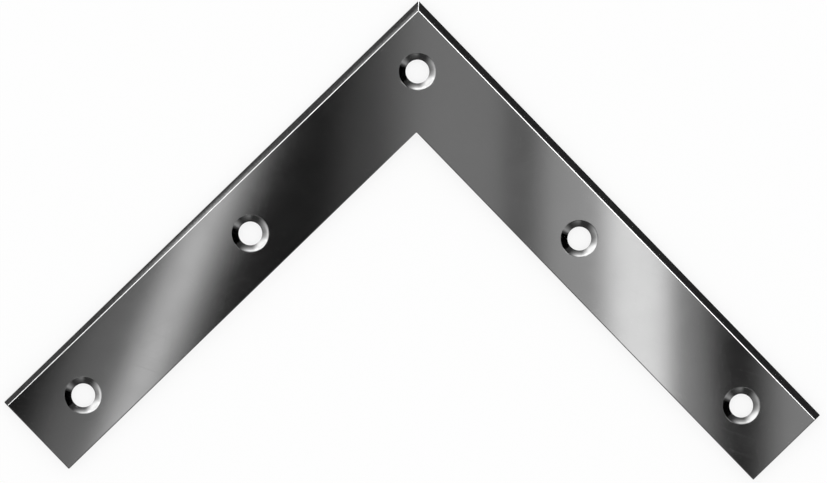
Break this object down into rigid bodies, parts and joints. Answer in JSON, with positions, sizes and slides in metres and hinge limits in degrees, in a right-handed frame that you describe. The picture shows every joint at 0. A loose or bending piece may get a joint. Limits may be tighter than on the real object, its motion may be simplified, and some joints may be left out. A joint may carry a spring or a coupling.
{
  "type": "flat angle bracket",
  "caption": "Flat L-shaped corner bracket of polished steel with countersunk screw holes and bevelled outer edges, for joining two members in one plane.",
  "frame": {"origin": "where the axis of the corner screw hole meets the back face", "axes": "+X along one arm and +Y along the other, both away from the corner; +Z out of the countersunk front face"},
  "size_m": [0.1241, 0.1241, 0.0025],
  "materials": {
    "polished_steel": "polished, with very fine grinding lines"
  },
  "bodies": {
    "root": {"corner_plate": "polished_steel"}
  },
  "joints": []
}
